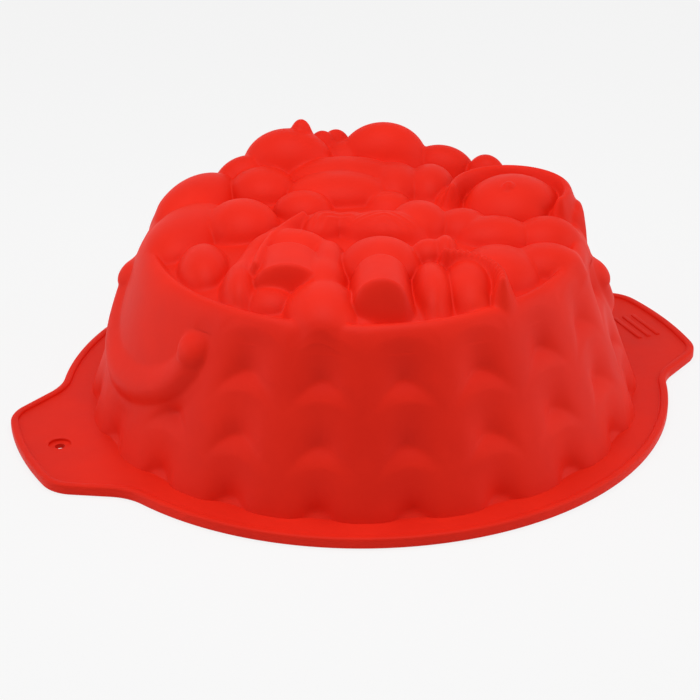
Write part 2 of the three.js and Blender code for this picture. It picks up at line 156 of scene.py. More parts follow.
def seen_directly(nodes: Nodes, links: NodeLinks) -> NodeSocket:
    """Adds a value that is 1 for camera, glossy and transmission rays and 0 for the rest.

    Args:
        nodes: The nodes to add to.
        links: Their links.

    Returns:
        The value.
    """
    path = nodes.new("ShaderNodeLightPath")
    seen = path.outputs["Is Camera Ray"]
    for ray in ("Is Glossy Ray", "Is Transmission Ray"):
        either = nodes.new("ShaderNodeMath")
        either.operation = "MAXIMUM"
        links.new(seen, either.inputs[0])
        links.new(path.outputs[ray], either.inputs[1])
        seen = either.outputs["Value"]
    return seen


@dataclass(frozen=True)
class Paper:
    """The plain pale paper that the mould stands on, with a light shadow."""

    name: str
    tone: float = 0.9
    shown: float = 0.955
    evenness: float = 0.88  # share of what is seen that is the even tone

    def material(self) -> Material:
        """Builds a matt paper material that shows an even tone.

        Returns:
            The material.
        """
        made = bpy.data.materials.new(self.name)
        made.use_nodes = True
        nodes, links = made.node_tree.nodes, made.node_tree.links
        shader = nodes["Principled BSDF"]
        shader.inputs["Base Color"].default_value = (*[self.tone] * 3, 1.0)
        shader.inputs["Roughness"].default_value = 1.0
        shader.inputs["Specular IOR Level"].default_value = 0.0
        even = nodes.new("ShaderNodeEmission")
        even.inputs["Color"].default_value = (*[self.shown] * 3, 1.0)
        share = nodes.new("ShaderNodeMath")
        share.operation = "MULTIPLY"
        share.inputs[1].default_value = self.evenness
        links.new(seen_directly(nodes, links), share.inputs[0])
        mix = nodes.new("ShaderNodeMixShader")
        links.new(share.outputs["Value"], mix.inputs["Fac"])
        links.new(shader.outputs["BSDF"], mix.inputs[1])
        links.new(even.outputs["Emission"], mix.inputs[2])
        links.new(mix.outputs["Shader"], nodes["Material Output"].inputs["Surface"])
        return made


# ---------------------------------------------------------------- sheets of moulding


class Shading(Enum):
    """How a finished piece is shaded."""

    MOULDED = "normals of the whole sheet, so that pieces meet without a seam"
    BY_ANGLE = "smooth faces with sharp corners kept"


def deselect() -> None:
    """Leaves nothing selected."""
    for thing in bpy.context.selected_objects:
        thing.select_set(False)


def take(piece: Object) -> None:
    """Makes one object the only selected and active one.

    Args:
        piece: The object.
    """
    deselect()
    piece.select_set(True)
    bpy.context.view_layer.objects.active = piece


@contextmanager
def editing() -> Iterator[None]:
    """Opens the active object for editing, with all of it selected."""
    bpy.ops.object.mode_set(mode="EDIT")
    bpy.ops.mesh.select_all(action="SELECT")
    yield
    bpy.ops.object.mode_set(mode="OBJECT")


def vertex_array(mesh: Mesh, what: str = "co") -> Array:
    """Reads the places or normals of a mesh's vertices.

    Args:
        mesh: The mesh.
        what: The vertex property to read.

    Returns:
        One row for each vertex.
    """
    flat = np.empty(len(mesh.vertices) * 3, np.float32)
    mesh.vertices.foreach_get(what, flat)
    return flat.reshape(-1, 3).astype(float)


def write_places(mesh: Mesh, places: Array) -> None:
    """Moves a mesh's vertices to places in metres."""
    mesh.vertices.foreach_set("co", places.astype(np.float32).ravel())
    mesh.update()


def write_attribute(mesh: Mesh, name: str, values: Array) -> None:
    """Stores a vector on each vertex under a name."""
    layer = mesh.attributes.get(name) or mesh.attributes.new(name, "FLOAT_VECTOR", "POINT")
    layer.data.foreach_set("vector", values.astype(np.float32).ravel())


def read_attribute(mesh: Mesh, name: str) -> Array:
    """Reads back a vector stored on each vertex.

    Args:
        mesh: The mesh.
        name: The attribute's name.

    Returns:
        One row for each vertex.
    """
    flat = np.empty(len(mesh.vertices) * 3, np.float32)
    mesh.attributes[name].data.foreach_get("vector", flat)
    return flat.reshape(-1, 3).astype(float)


class Sheet:
    """A sheet of the moulding, shaped from a grid and then parted into closed pieces."""

    MENDING_ROUNDS = 12

    def __init__(self, name: str, columns: int, rows: int) -> None:
        """Adds the flat grid.

        Args:
            name: A name for the sheet.
            columns: Cells in the first direction.
            rows: Cells in the second direction.
        """
        deselect()
        bpy.ops.mesh.primitive_grid_add(x_subdivisions=columns, y_subdivisions=rows, size=2)
        self.body = bpy.context.object
        self.body.name = name
        self.mesh = self.body.data
        flat = vertex_array(self.mesh)
        self.u, self.v = flat[:, 0], flat[:, 1]
        self.columns = len(np.unique(np.round(self.u, 5))) - 1
        self.rows = len(np.unique(np.round(self.v, 5))) - 1
        centres = np.empty(len(self.mesh.polygons) * 3, np.float32)
        self.mesh.polygons.foreach_get("center", centres)
        self.cell_u, self.cell_v = centres.reshape(-1, 3).astype(float).T[:2]
        self.cell_column = self._counted(self.cell_u, self.columns)
        self.cell_row = self._counted(self.cell_v, self.rows)

    @staticmethod
    def _counted(place: Array, cells: int) -> Array:
        """Column or row numbers of cells that lie between -1 and 1."""
        return np.clip(((place + 1) / 2 * cells).astype(int), 0, cells - 1)

    def shape(self, outer: Array, inner: Array) -> None:
        """Gives the sheet its outer face and remembers the inner one.

        Args:
            outer: Outer places in millimetres, one for each vertex.
            inner: Inner places in millimetres, one for each vertex.
        """
        write_places(self.mesh, inner * MM)
        write_attribute(self.mesh, "inner_normal", -vertex_array(self.mesh, "normal"))
        write_places(self.mesh, outer * MM)
        write_attribute(self.mesh, "outer_normal", vertex_array(self.mesh, "normal"))
        write_attribute(self.mesh, "inner", inner * MM)

    def lean(self, chosen: Array, rise: float) -> None:
        """Sets the outer normal along an edge, so that two sheets meet there without a line.

        Args:
            chosen: The vertices on the edge.
            rise: How steeply the normal rises from the level.
        """
        normals = read_attribute(self.mesh, "outer_normal")
        flat = normals[chosen] * [1, 1, 0]
        flat /= np.linalg.norm(flat, axis=1, keepdims=True)
        normals[chosen] = flat * math.cos(rise) + np.array([0, 0, 1]) * math.sin(rise)
        write_attribute(self.mesh, "outer_normal", normals)

    def close_round(self, labels: Array) -> Array:
        """Joins the first column of points to the last, on a sheet that goes all round.

        Args:
            labels: The piece number of each cell.

        Returns:
            The piece numbers in the order that the cells have afterwards.
        """
        self._match_seam()
        self.mesh.polygons.foreach_set("material_index", labels.astype(np.int32))
        take(self.body)
        with editing():
            bpy.ops.mesh.remove_doubles(threshold=SEAM)
        kept = np.empty(len(self.mesh.polygons), np.int32)
        self.mesh.polygons.foreach_get("material_index", kept)
        return kept

    def _match_seam(self) -> None:
        """Gives both sides of the seam the same normals."""
        first = np.flatnonzero(self.u < -1 + 1e-5)
        last = np.flatnonzero(self.u > 1 - 1e-5)
        first = first[np.argsort(self.v[first])]
        last = last[np.argsort(self.v[last])]
        for name in ("outer_normal", "inner_normal"):
            normals = read_attribute(self.mesh, name)
            mean = normals[first] + normals[last]
            mean /= np.linalg.norm(mean, axis=1, keepdims=True) + 1e-12
            normals[first] = mean
            normals[last] = mean
            write_attribute(self.mesh, name, normals)

    def tidy_labels(self, labels: Array) -> Array:
        """Clears cells that touch their own piece only at a corner.

        Args:
            labels: The piece number of each cell.

        Returns:
            The mended piece numbers.
        """
        i, j = self.cell_column, self.cell_row
        table = np.zeros((self.rows, self.columns), int)
        table[j, i] = labels
        for _ in range(self.MENDING_ROUNDS):
            a, b = table[:-1, :-1], table[:-1, 1:]
            c, d = table[1:, :-1], table[1:, 1:]
            crossed = ((a == d) & (a != b) & (a != c)) | ((b == c) & (b != a) & (b != d))
            if not crossed.any():
                break
            rows, columns = np.nonzero(crossed)
            table[rows + 1, columns + 1] = table[rows + 1, columns]
        return table[j, i]

    def part(self, names: list[str], labels: Array, finish: Material,
             shading: Shading) -> dict[str, Object]:
        """Parts the sheet along its labels and gives each piece its thickness.

        Args:
            names: The pieces' names.
            labels: The number in names of each cell, before any joining.
            finish: The pieces' material.
            shading: How the pieces are shaded.

        Returns:
            The closed pieces by name.
        """
        self.mesh.materials.clear()
        for name in names:
            self.mesh.materials.append(bpy.data.materials.new("cut_" + name))
        self.mesh.polygons.foreach_set("material_index", labels.astype(np.int32))
        take(self.body)
        with editing():
            bpy.ops.mesh.separate(type="MATERIAL")
        pieces = {}
        for piece in list(bpy.context.selected_objects):
            name = piece.data.materials[0].name[len("cut_"):]
            thicken(piece, finish, shading)
            piece.name = name
            piece.data.name = name
            pieces[name] = piece
        for name in names:
            bpy.data.materials.remove(bpy.data.materials["cut_" + name])
        return pieces


def thicken(piece: Object, finish: Material, shading: Shading) -> None:
    """Turns an open patch into a closed piece by extruding its outer face off its inner one.

    Args:
        piece: The patch, with its inner places stored.
        finish: The piece's material.
        shading: How the piece is shaded.
    """
    take(piece)
    piece.data.materials.clear()
    piece.data.materials.append(finish)
    with editing():
        bpy.ops.mesh.extrude_region_move(TRANSFORM_OT_translate={"value": (0, 0, 0)})
    mesh = piece.data
    chosen = np.empty(len(mesh.vertices), bool)
    mesh.vertices.foreach_get("select", chosen)
    places = vertex_array(mesh)
    inner = read_attribute(mesh, "inner")
    places[~chosen] = inner[~chosen]
    write_places(mesh, places)
    if signed_volume(mesh) < 0:
        with editing():
            bpy.ops.mesh.flip_normals()
    if shading is Shading.MOULDED:
        bpy.ops.object.shade_smooth()
        normals = read_attribute(mesh, "outer_normal")
        normals[~chosen] = read_attribute(mesh, "inner_normal")[~chosen]
        mesh.normals_split_custom_set_from_vertices(normals.tolist())
    else:
        bpy.ops.object.shade_smooth_by_angle(angle=SMOOTH_ANGLE)
    for name in ("inner", "outer_normal", "inner_normal"):
        mesh.attributes.remove(mesh.attributes[name])


def signed_volume(mesh: Mesh) -> float:
    """Measures a closed mesh.

    Args:
        mesh: The mesh.

    Returns:
        Its volume, negative when it is inside out.
    """
    mesh.calc_loop_triangles()
    triangles = np.empty(len(mesh.loop_triangles) * 3, np.int32)
    mesh.loop_triangles.foreach_get("vertices", triangles)
    a, b, c = vertex_array(mesh)[triangles.reshape(-1, 3)].transpose(1, 0, 2)
    return float(np.einsum("ij,ij->i", a, np.cross(b, c)).sum() / 6)


# ---------------------------------------------------------------- the fruit relief


class Shape(Enum):
    """The kinds of form in the relief."""

    OVAL = "an oval dome"
    STUB = "a short bar lying on its side, with flat ends"
    RIDGE = "a rounded bar along an arc"


@dataclass(frozen=True)
class Form:
    """One rounded form of the relief, in millimetres and degrees."""

    shape: Shape
    x: float
    y: float
    along: float
    across: float
    turn: float
    level: float
    dome: float
    start: float = 0.0
    end: float = 0.0
    ripple: float = 0.0
    pitch: float = 4.0

    STEEPNESS = 2.6  # fall for each millimetre outward, where a dome runs out
    END_STEEPNESS = 3.4  # the same at the flat ends of a stub
    END_ROUND = 2.2  # rounding of a stub's ends
    SMALLEST = 0.8  # half width under which a form has no hollow

    def _dome(self, spread: Array, half: float, dome: float) -> Array:
        """Shapes a dome that runs out into a straight side.

        Args:
            spread: Distances from the middle, where 1 is the form's edge.
            half: The form's half width.
            dome: The dome's height.

        Returns:
            Heights above the form's level.
        """
        steep = self.STEEPNESS * half / dome
        edge = steep / math.sqrt(1 + steep * steep)
        crest = math.sqrt(1 - edge * edge)
        over = dome * np.sqrt(np.clip(1 - np.minimum(spread, edge) ** 2, 0, 1))
        side = dome * crest - self.STEEPNESS * half * (spread - edge)
        return np.where(spread < edge, over, side)

    def height(self, x: Array, y: Array, inset: float) -> Array | None:
        """The form's height above the crown bed.

        Args:
            x: Places in the plan.
            y: Places in the plan.
            inset: How far the form is drawn in all round, for the hollow under it.

        Returns:
            Heights, or None where the form is too narrow to have a hollow.
        """
        along, across = self.along - inset, self.across - inset
        dome = self.dome - inset
        if min(across, along) < self.SMALLEST:
            return None
        if self.shape is Shape.RIDGE:
            return self.level + self._ridge(x, y, across, dome)
        turn = math.radians(self.turn)
        u = (x - self.x) * math.cos(turn) + (y - self.y) * math.sin(turn)
        v = (y - self.y) * math.cos(turn) - (x - self.x) * math.sin(turn)
        if self.shape is Shape.STUB:
            past = np.clip(np.abs(u) - along, 0, None)
            rise = self._dome(np.abs(v) / across, across, dome)
            drop = np.hypot(past, self.END_ROUND) - self.END_ROUND
            return self.level + rise - self.END_STEEPNESS * drop
        spread = np.hypot(u / along, v / across)
        rise = self._dome(spread, min(along, across), dome)
        return self.level + rise + self._ripples(v + 0.5 * np.abs(u), spread)

    def _ripples(self, across: Array, spread: Array) -> Array:
        """Fine waves over a form, dying out down its sides."""
        wave = np.cos(2 * math.pi * across / self.pitch)
        return self.ripple * wave * np.clip(1 - spread ** 2, 0, 1)

    def _ridge(self, x: Array, y: Array, half: float, dome: float) -> Array:
        """Shapes a bar along an arc, whose radius is held in along.

        Args:
            x: Places in the plan.
            y: Places in the plan.
            half: The bar's half width.
            dome: Its height.

        Returns:
            Heights above the form's level.
        """
        middle, reach = (self.start + self.end) / 2, (self.end - self.start) / 2
        angle = np.degrees(np.arctan2(y - self.y, x - self.x))
        off = (angle - middle + 180) % 360 - 180
        near = np.radians(middle + np.clip(off, -reach, reach))
        px = self.x + self.along * np.cos(near)
        py = self.y + self.along * np.sin(near)
        spread = np.hypot(x - px, y - py) / half
        return self._dome(spread, half, dome) + self._ripples(self.along * near, spread)


FULLNESS = 1.12  # the fruits swell to touch each other


def oval(x: float, y: float, along: float, across: float, *rest: float,
         ripple: float = 0.0, pitch: float = 4.0) -> Form:
    """An oval form: place, half lengths, heading, level and dome, with any ripples."""
    return Form(Shape.OVAL, x, y, FULLNESS * along, FULLNESS * across, *rest,
                ripple=ripple, pitch=pitch)


def stub(*sizes: float) -> Form:
    """A stub: place, half lengths, heading, level and dome."""
    return Form(Shape.STUB, *sizes)


def ridge(x: float, y: float, radius: float, half: float, start: float, end: float,
          level: float, dome: float, ripple: float = 0.0, pitch: float = 4.0) -> Form:
    """A ridge along an arc: centre, radius, half width, ends, level, dome and ripples."""
    return Form(Shape.RIDGE, x, y, radius, half, 0, level, dome, start, end, ripple, pitch)


RELIEFS: dict[str, tuple[Form, ...]] = {
    "plum_back": (oval(-3, 74, 17.5, 13, -23, 7, 17), oval(4, 76, 4.3, 4.3, 0, 19, 8)),
    "pear_back": (oval(38, 66, 17, 12, -23, 7, 16.5), oval(22, 71, 12, 9, -23, 6, 10)),
    "berries_back": (oval(14, 77, 7, 6, 0, 7, 13), oval(21, 79, 7, 5, 0, 7, 12)),
    "banana_outer": (oval(14, 52, 23, 12, -23, 5, 11),),
    "banana_inner": (oval(6, 40, 20, 13, -23, 4, 10.5),),
    "plum_rear_left": (oval(-21, 58, 13, 13, -23, 3, 11.5),),
    "grape_left": (oval(-14, 30, 11, 10, -23, 4, 9),),
    "plum_left": (oval(-42, 26, 14, 15, -23, 2, 13),),
    "banana_left": (oval(-62, 33, 26, 14, 48, -1, 12),),
    "banana_rear_left": (oval(-49, 60, 24, 12, 38, 0, 14),),
    "fig_rear_left": (oval(-22, 74, 14, 9, 5, 1, 14),),
    "plum_front_left": (oval(-68, -2, 9.5, 17, -18, -2, 12),),
    "mushroom_left": (oval(-35, -8, 16, 12.5, -23, 2, 12), stub(-44, -29, 10, 13, 67, 4.5, 10.5)),
    "pear_front": (oval(-41, -57, 13, 18, -20, -1, 12.5), oval(-33, -38, 9, 17, -23, 0, 12),
                   oval(-26, -26, 7, 20, -23, 1, 11)),
    "berry_front_left": (oval(-55, -40, 10, 10, 0, -2, 9),),
    "leaf_left": (ridge(27, -70, 93, 2.4, 122, 154, 7, 7), ridge(27, -70, 98, 6, 128, 153, 3, 6.5)),
    "leaf_curl_left": (oval(-62, -27, 15, 6.5, 66, 1, 10),),
    "leaf_centre": (oval(6, -8, 15, 9.5, -35, 6, 9, ripple=0.16, pitch=3.0),
                    oval(-15, 6, 11, 8, 20, 5, 8, ripple=0.22, pitch=3.4),
                    oval(-4, 2, 8, 7, -60, 6, 6.5, ripple=0.22, pitch=3.2)),
    "mushroom_right": (oval(-8, -35, 15, 16, -23, 2, 14), stub(-18.5, -59, 11, 10.5, 67, 5.5, 11.5)),
    "plum_right": (oval(32, 40, 11, 15, -23, 3, 11), oval(21, 23, 9, 8, -23, 3, 6.5)),
    "plum_rear_right": (oval(45, 33, 10, 14, -23, 2, 12),),
    "plum_far_right": (oval(60, 54, 14, 9, -40, 1, 13),),
    "berries_far_right": (oval(74, 38, 9, 7, -60, 0, 13), oval(45, 68, 9, 7, -40, 1, 13)),
    "melon_right": (oval(67, 0, 18.5, 18.5, 0, 2, 15), oval(62, -5, 2.2, 2.2, 0, 15.5, 2.6)),
    "leaf_collar": (ridge(65, -1, 23.5, 2.6, -58, 150, 7.5, 7),
                    ridge(65, -1, 26, 5.5, -45, 140, 2.5, 6, 0.9, 15)),
    "bow_leaf": (oval(22, -5, 11, 13, -23, 5, 10),),
    "bow_knot": (oval(11, -38, 7, 7, 0, 6, 8), oval(17, -40, 4.5, 8, -23, 7, 8)),
    "bow_tail_left": (oval(2, -60, 7.5, 20, -23, -1, 13),),
    "bow_tail_right": (oval(17, -62, 10, 20, -23, -1, 13),),
    "bow_ridge": (ridge(1, -68, 23.4, 2.6, -30, 58, 6, 8, 0.35, 2.6),),
    "apricot_inner": (oval(38, -12, 11, 11, -23, 2, 10),),
    "apricot_middle": (oval(46, -24, 15, 11, -23, 1, 11),),
    "apricot_front": (oval(35, -50, 15, 18, -23, -2, 12),),
    "apricot_side": (oval(55, -51, 14, 12, -23, -2, 11),),
    "apricot_outer": (oval(66, -31, 13, 12, -23, -1, 12),),
    "berry_under_bow": (oval(-9, -68, 7, 12, -20, -4, 8),),
    "berry_front": (oval(-31, -67, 9, 8, -23, -3, 7),),
}


@dataclass(frozen=True)
class Quilting:
    """The tufts that draw the basket in, with round shoulders under long hollows."""

    columns: int = 20
    phase: float = 3.6  # heading of the first column, in degrees
    rows: tuple[float, ...] = (5.0, 27.5, 50.0, 72.5)  # heights of the tufts
    depth: float = 3.8
    hollow: float = 9.5  # how slowly a tuft runs out above
    shoulder: float = 3.4  # and below
    arch: float = 0.055  # bend of the shoulders' edge
    half_width: float = 7.5
    spread: float = 0.33  # widening for each millimetre above the tuft
    top: float = 70.5
    fade: float = 9.0

    def draw_in(self, angle: Array, z: Array, radius: Array) -> Array:
        """How far the tufts draw the basket in.

        Args:
            angle: Angles round the basket in radians.
            z: Heights.
            radius: Radii of the plain basket there.

        Returns:
            Depths in millimetres.
        """
        step = 360 / self.columns
        column = (np.degrees(angle) - self.phase) / step
        side = np.abs(column - np.round(column)) * math.radians(step) * radius
        depth = np.zeros_like(z)
        for row in self.rows:
            above = z - row
            past = above + self.arch * side * side
            run = np.where(past > 0, self.hollow, self.shoulder)
            fall = np.exp(-(np.sqrt(past ** 2 + 1.0) - 1.0) / run)
            width = self.half_width + self.spread * np.clip(above, 0, None)
            depth = np.maximum(depth, fall * np.exp(-((side / width) ** 2)))
        fade = np.clip((self.top - z) / self.fade, 0, 1)
        return self.depth * depth * fade * fade * (3 - 2 * fade)


@dataclass
class Crown:
    """The crown of fruit with the rolled rim round it, in millimetres."""

    wall_radius: float
    wall_top: float
    thickness: float
    quilting: Quilting
    crown_radius: float = 84.0
    rim_inside: float = 4.0  # how far the rim's inner side reaches into the crown
    rim_top: float = 69.4
    bed: float = 65.5
    bed_swell: float = 5.5
    softness: float = 0.72  # how soft the creases are
    thinnest: float = 1.2
    handle_clear: float = 23.0  # half angle beside each tab that has no tufts
    cells: int = 340

    def build(self, finish: Material) -> dict[str, Object]:
        """Shapes the sheet and parts it into the fruits and the rim.

        Args:
            finish: The silicone.

        Returns:
            The pieces by name.
        """
        sheet = Sheet("crown_sheet", self.cells, self.cells)
        x, y = self._plan(sheet.u, sheet.v)
        z = self._height(x, y, 0.0)
        radius = np.hypot(x, y)
        start = self.crown_radius - self.rim_inside
        inner_edge = self.wall_radius - self.thickness
        squeeze = (inner_edge - start) / (self.wall_radius - start)
        drawn = np.where(radius > start, start + (radius - start) * squeeze, radius)
        share = drawn / np.maximum(radius, 1e-9)
        hollow = self._height(x * share, y * share, self.thickness)
        under = np.minimum(hollow, z - self.thinnest)
        on_edge = radius > self.wall_radius - HAIR
        under = np.where(on_edge, self.wall_top, under)
        z = np.where(on_edge, self.wall_top, z)
        pull = 1 - self._rim_tufts(x, y, z) / np.maximum(radius, 1e-9)
        outer = np.column_stack([x * pull, y * pull, z])
        inner = np.column_stack([x * share * pull, y * share * pull, under])
        sheet.shape(outer, inner)
        sheet.lean(on_edge, math.atan(WALL_LEAN))
        cell_x, cell_y = self._plan(sheet.cell_u, sheet.cell_v)
        labels = sheet.tidy_labels(self._labels(cell_x, cell_y))
        names = [*RELIEFS, "basket_rim"]
        return sheet.part(names, labels, finish, Shading.MOULDED)

    def _rim_tufts(self, x: Array, y: Array, z: Array) -> Array:
        """Works out how far the tufts draw in the rolled rim and what hangs over it.

        Args:
            x: Places in the plan.
            y: Places in the plan.
            z: Heights there.

        Returns:
            Depths in millimetres.
        """
        radius = np.hypot(x, y)
        angle = np.arctan2(y, x)
        reach = np.clip((radius - self.crown_radius + 2) / 6, 0, 1)
        near_tab = np.abs((np.degrees(angle) + 90) % 180 - 90)
        clear = np.clip((near_tab - self.handle_clear) / 5, 0, 1)
        level = np.minimum(z, self.rim_height(radius, 0.0))
        return self.quilting.draw_in(angle, level, radius) * reach * clear

    def _plan(self, u: Array, v: Array) -> tuple[Array, Array]:
        """Turns the square rings of the grid into round ones.

        Args:
            u: Places across the grid, from -1 to 1.
            v: Places up the grid, from -1 to 1.

        Returns:
            The x and y of each place.
        """
        reach = np.maximum(np.abs(u), np.abs(v))
        wide = np.abs(u) >= np.abs(v)
        safe_u = np.where(np.abs(u) < 1e-12, 1e-12, u)
        safe_v = np.where(np.abs(v) < 1e-12, 1e-12, v)
        east = math.pi / 4 * v / safe_u + np.where(u < 0, math.pi, 0)
        north = math.pi / 2 - math.pi / 4 * u / safe_v + np.where(v < 0, math.pi, 0)
        angle = np.where(wide, east, north)
        radius = self._ring_radius(reach)
        return radius * np.cos(angle), radius * np.sin(angle)

    def _ring_radius(self, reach: Array) -> Array:
        """Spaces the rings evenly along the profile, so closer in plan over the rolled rim.

        Args:
            reach: Sizes of the grid's rings, from 0 to 1.

        Returns:
            Their radii.
        """
        radii = np.linspace(0, self.wall_radius, 400)
        heights = self.rim_height(radii, 0.0)
        path = np.concatenate([[0], np.cumsum(np.hypot(np.diff(radii), np.diff(heights)))])
        return np.interp(reach * path[-1], path, radii)

    def rim_height(self, radius: Array, inset: float) -> Array:
        """Shapes the rolled rim, which runs on from the wall and turns over to the crown.

        Args:
            radius: Distances from the axis.
            inset: How far the face lies inside the outer one.

        Returns:
            Heights.
        """
        start = np.array([self.wall_radius - inset, self.wall_top])
        top = self.rim_top - inset
        turn = np.array([start[0] - WALL_LEAN * (top - self.wall_top), top])
        end = np.array([self.crown_radius - 0.4 * inset, top])
        t = np.linspace(1, 0, 40)[:, None]
        curve = (1 - t) ** 2 * start + 2 * t * (1 - t) * turn + t * t * end
        return np.interp(radius, curve[:, 0], curve[:, 1])

    def _bed_height(self, radius: Array, inset: float) -> Array:
        """Shapes the ground between the fruits and the rim round it.

        Args:
            radius: Distances from the axis.
            inset: How far the face lies inside the outer one.

        Returns:
            Heights.
        """
        swell = self.bed_swell * (1 - (radius / self.crown_radius) ** 2)
        ground = self.bed + np.clip(swell, 0, None) - inset
        edge = np.clip((radius - self.crown_radius) / self.rim_inside + 1, 0, 1)
        lift = edge * edge * (3 - 2 * edge)
        ground = ground + (self.rim_top - inset - ground) * lift
        return np.where(radius > self.crown_radius, self.rim_height(radius, inset), ground)

    def _height(self, x: Array, y: Array, inset: float) -> Array:
        """Takes the highest of the forms and the bed, with soft creases.

        Args:
            x: Places in the plan.
            y: Places in the plan.
            inset: 0 for the outer face, or the thickness for the one inside.

        Returns:
            Heights.
        """
        base = self.bed - inset
        heights = [self._bed_height(np.hypot(x, y), inset)]
        for form in (form for forms in RELIEFS.values() for form in forms):
            rise = form.height(x, y, inset)
            if rise is not None:
                heights.append(base + rise)
        stack = np.array(heights)
        top = stack.max(axis=0)
        return top + self.softness * np.log(np.exp((stack - top) / self.softness).sum(axis=0))

    def _labels(self, x: Array, y: Array) -> Array:
        """Numbers the relief, or the rim, that each cell belongs to.

        Args:
            x: Places in the plan.
            y: Places in the plan.

        Returns:
            Numbers in RELIEFS, or the number after its last for the rim.
        """
        rises = []
        for forms in RELIEFS.values():
            rises.append(np.max([form.height(x, y, 0.0) for form in forms], axis=0))
        best = np.argmax(rises, axis=0)
        radius = np.hypot(x, y)
        rim = self.rim_height(radius, 0.0) - self.bed
        on_rim = (radius > self.crown_radius) & (rim > np.max(rises, axis=0))
        return np.where(on_rim, len(RELIEFS), best)


# ---------------------------------------------------------------- the basket wall


@dataclass
class BasketWall:
    """The quilted wall with its two drop handles, in millimetres."""

    base_radius: float = 112.7
    top_radius: float = 91.5
    foot: float = 3.0
    top: float = 60.0
    thickness: float = 2.5
    quilting: Quilting = field(default_factory=Quilting)
    handle_half_angle: float = 24.0
    handle_top: float = 53.0
    handle_drop: float = 24.0
    handle_half_width: float = 7.5
    handle_proud: float = 3.2
    handle_margin: float = 7.0  # how far round a loop the tufts run out
    knob_radius: float = 7.0
    knob_proud: float = 4.6
    columns: int = 720
    rows: int = 62

    def build(self, finish: Material) -> dict[str, Object]:
        """Shapes the wall and parts it into the wall, the handles and their knobs.

        Args:
            finish: The silicone.

        Returns:
            The pieces by name.
        """
        sheet = Sheet("wall_sheet", self.columns, self.rows)
        angle, z = self._plan(sheet.u, sheet.v)
        tufts = self.tufts(angle, z)
        handles = self._handles(angle, z)
        plain = self._radius(z)
        outer = self._place(angle, z, plain - tufts + handles)
        inner = self._place(angle, z, plain - self.thickness - 0.9 * tufts)
        sheet.shape(outer, inner)
        sheet.lean(z > self.top - HAIR, math.atan(WALL_LEAN))
        cell_angle, cell_z = self._plan(sheet.cell_u, sheet.cell_v)
        names = ["basket_wall"]
        for side in ("right", "left"):
            names += [f"drop_handle_{side}", f"handle_knob_{side}_a", f"handle_knob_{side}_b"]
        kept = sheet.close_round(self._labels(cell_angle, cell_z))
        return sheet.part(names, kept, finish, Shading.MOULDED)

    def _plan(self, u: Array, v: Array) -> tuple[Array, Array]:
        """Angle in radians and height of the grid's points."""
        return math.pi * u, self.foot + (self.top - self.foot) * (v + 1) / 2

    @staticmethod
    def _place(angle: Array, z: Array, radius: Array) -> Array:
        """Points at an angle, height and radius."""
        return np.column_stack([radius * np.cos(angle), radius * np.sin(angle), z])

    def _radius(self, z: Array) -> Array:
        """Radius of the plain wall."""
        share = (z - self.foot) / (self.top - self.foot)
        return self.base_radius + share * (self.top_radius - self.base_radius)

    def _off_axis(self, angle: Array) -> Array:
        """Angle in degrees from the nearer tab's axis."""
        return (np.degrees(angle) + 90) % 180 - 90

    def tufts(self, angle: Array, z: Array) -> Array:
        """How far the tufts draw the wall in, outside the handles' loops."""
        return self.quilting.draw_in(angle, z, self._radius(z)) * self._outside(angle, z)

    def _outside(self, angle: Array, z: Array) -> Array:
        """Finds what lies outside the drop handles.

        Args:
            angle: Angles round the wall in radians.
            z: Heights.

        Returns:
            0 inside a handle's loop and 1 away from it.
        """
        across = self._off_axis(angle) / self.handle_half_angle
        down = (self.handle_top - z) / self.handle_drop
        reach = np.where(down > 0, np.hypot(across, down), np.abs(across))
        beside = self._loop_distance(angle, z) - 0.8 * self.handle_half_width
        clear = beside / self.handle_margin
        return np.clip((reach - 0.95) / 0.2, 0, 1) * np.clip(clear, 0, 1)

    def _loop_distance(self, angle: Array, z: Array) -> Array:
        """Measures along the wall from the middle line of the nearer loop.

        Args:
            angle: Angles round the wall in radians.
            z: Heights.

        Returns:
            Distances.
        """
        turn = np.linspace(0, math.pi, 61)
        off = np.radians(self._off_axis(angle)) * self._radius(z)
        nearest = np.full(z.shape, 1e9)
        for t in turn:
            loop_z = self.handle_top - self.handle_drop * math.sin(t)
            loop_off = -math.radians(self.handle_half_angle) * math.cos(t)
            loop_off = loop_off * float(self._radius(np.array(loop_z)))
            nearest = np.minimum(nearest, np.hypot(off - loop_off, z - loop_z))
        return nearest

    def _knob_distance(self, angle: Array, z: Array) -> Array:
        """Distance on the wall from the nearer knob."""
        off = np.abs(self._off_axis(angle)) - self.handle_half_angle
        return np.hypot(np.radians(off) * self._radius(z), z - self.handle_top + 1)

    def _handles(self, angle: Array, z: Array) -> Array:
        """Shapes the loops and knobs.

        Args:
            angle: Angles round the wall in radians.
            z: Heights.

        Returns:
            How far they stand proud of the wall.
        """
        loop = np.clip(1 - (self._loop_distance(angle, z) / self.handle_half_width) ** 2, 0, 1)
        knob = np.clip(1 - (self._knob_distance(angle, z) / self.knob_radius) ** 2, 0, 1)
        fade = np.clip((self.top - z) / 3, 0, 1)
        proud = np.maximum(self.handle_proud * loop ** 1.3, self.knob_proud * knob ** 0.8)
        return proud * fade

    def _labels(self, angle: Array, z: Array) -> Array:
        """Numbers the piece that each cell belongs to.

        Args:
            angle: Angles round the wall in radians.
            z: Heights.

        Returns:
            0 for the wall, then a loop and its two knobs for each side.
        """
        loop = self._loop_distance(angle, z) < self.handle_half_width
        knob = self._knob_distance(angle, z) < self.knob_radius
        right = np.cos(angle) > 0
        labels = np.where(loop, np.where(right, 1, 4), 0)
        later = self._off_axis(angle) > 0
        knobs = np.where(right, 2, 5) + later
        return np.where(knob, knobs, labels)


# ---------------------------------------------------------------- the flange


